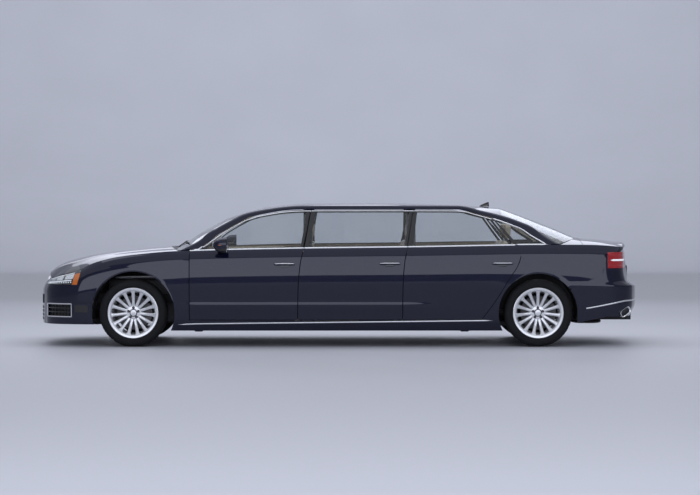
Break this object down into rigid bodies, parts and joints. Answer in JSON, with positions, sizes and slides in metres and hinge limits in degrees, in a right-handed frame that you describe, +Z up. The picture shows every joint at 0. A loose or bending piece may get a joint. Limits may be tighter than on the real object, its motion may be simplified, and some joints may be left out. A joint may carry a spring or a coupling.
{
  "type": "stretch limousine",
  "caption": "Long dark-navy saloon car with an extra row of doors and seats, chrome window line and many-spoked wheels; doors, lids, steering and wheels move.",
  "frame": {"origin": "on the ground under the middle of the car's length and width", "axes": "+X rearwards along the car, +Z up, +Y to the car's right"},
  "size_m": [6.36, 2.2552, 1.5059],
  "materials": {
    "paint": "dark navy metallic, clear coated",
    "black_trim": "gloss black",
    "underbody": "satin black",
    "glass": "light tint",
    "chrome": "polished",
    "lamp_lens": "clear lens",
    "tail_lens": "red lens",
    "steel": "brushed",
    "iron": "as cast",
    "leather": "cream, grained",
    "dark_leather": "dark, grained",
    "dark_plastic": "matt",
    "tyre": "rubber",
    "alloy": "bright silver"
  },
  "bodies": {
    "shell": {"floor_pan": "underbody", "sills": "paint", "pillars": "black_trim", "cant_rails": "paint", "quarter_panels": "paint", "roof": "paint", "fixed_glass": "glass", "wings": "paint", "front_bumper": "paint", "grille": "chrome", "headlamps": "lamp_lens", "rear_bumper": "paint", "tail_lamps": "tail_lens", "exhaust": "steel", "engine": "iron", "front_seats": "leather", "middle_seats": "leather", "rear_seats": "leather", "dashboard": "dark_plastic", "steering_wheel": "dark_leather", "wheel_liners": "dark_plastic", "front_subframe": "iron", "rear_axle": "iron"},
    "left_door_1": {"left_door_1": "paint", "left_window_1": "glass"},
    "left_door_2": {"left_door_2": "paint", "left_window_2": "glass"},
    "left_door_3": {"left_door_3": "paint", "left_window_3": "glass"},
    "right_door_1": {"right_door_1": "paint", "right_window_1": "glass"},
    "right_door_2": {"right_door_2": "paint", "right_window_2": "glass"},
    "right_door_3": {"right_door_3": "paint", "right_window_3": "glass"},
    "bonnet": {"bonnet": "paint"},
    "boot_lid": {"boot_lid": "paint"},
    "left_knuckle": {"left_knuckle": "iron"},
    "right_knuckle": {"right_knuckle": "iron"},
    "wheel_fl": {"tyre_fl": "tyre", "wheel_fl": "alloy"},
    "wheel_fr": {"tyre_fr": "tyre", "wheel_fr": "alloy"},
    "wheel_rl": {"tyre_rl": "tyre", "wheel_rl": "alloy"},
    "wheel_rr": {"tyre_rr": "tyre", "wheel_rr": "alloy"}
  },
  "joints": [
    {"name": "left_door_1_hinge", "type": "hinge", "parent": "shell", "child": "left_door_1", "pos_m": [-1.5557, -0.974, 0.6], "axis": [0, 0, -1], "range_deg": [0, 65]},
    {"name": "left_door_2_hinge", "type": "hinge", "parent": "shell", "child": "left_door_2", "pos_m": [-0.4295, -0.979, 0.6], "axis": [0, 0, -1], "range_deg": [0, 65]},
    {"name": "left_door_3_hinge", "type": "hinge", "parent": "shell", "child": "left_door_3", "pos_m": [0.663, -0.979, 0.6], "axis": [0, 0, -1], "range_deg": [0, 65]},
    {"name": "right_door_1_hinge", "type": "hinge", "parent": "shell", "child": "right_door_1", "pos_m": [-1.5557, 0.974, 0.6], "axis": [0, 0, 1], "range_deg": [0, 65]},
    {"name": "right_door_2_hinge", "type": "hinge", "parent": "shell", "child": "right_door_2", "pos_m": [-0.4295, 0.979, 0.6], "axis": [0, 0, 1], "range_deg": [0, 65]},
    {"name": "right_door_3_hinge", "type": "hinge", "parent": "shell", "child": "right_door_3", "pos_m": [0.663, 0.979, 0.6], "axis": [0, 0, 1], "range_deg": [0, 65]},
    {"name": "bonnet_hinge", "type": "hinge", "parent": "shell", "child": "bonnet", "pos_m": [-1.64, 0, 1.031], "axis": [0, 1, 0], "range_deg": [0, 55]},
    {"name": "boot_hinge", "type": "hinge", "parent": "shell", "child": "boot_lid", "pos_m": [2.547, 0, 1.121], "axis": [0, -1, 0], "range_deg": [0, 75]},
    {"name": "left_steer", "type": "hinge", "parent": "shell", "child": "left_knuckle", "pos_m": [-2.142, -0.72, 0.352], "axis": [0, 0, 1], "range_deg": [-35, 35]},
    {"name": "right_steer", "type": "hinge", "parent": "shell", "child": "right_knuckle", "pos_m": [-2.142, 0.72, 0.352], "axis": [0, 0, 1], "range_deg": [-35, 35]},
    {"name": "wheel_fl_spin", "type": "hinge", "parent": "left_knuckle", "child": "wheel_fl", "pos_m": [-2.142, -0.82, 0.352], "axis": [0, -1, 0], "continuous": true},
    {"name": "wheel_fr_spin", "type": "hinge", "parent": "right_knuckle", "child": "wheel_fr", "pos_m": [-2.142, 0.82, 0.352], "axis": [0, -1, 0], "continuous": true},
    {"name": "wheel_rl_spin", "type": "hinge", "parent": "shell", "child": "wheel_rl", "pos_m": [2.076, -0.82, 0.352], "axis": [0, -1, 0], "continuous": true},
    {"name": "wheel_rr_spin", "type": "hinge", "parent": "shell", "child": "wheel_rr", "pos_m": [2.076, 0.82, 0.352], "axis": [0, -1, 0], "continuous": true}
  ],
  "couplings": [
    {"joint": "right_steer", "follows": "left_steer", "ratio": 1}
  ]
}
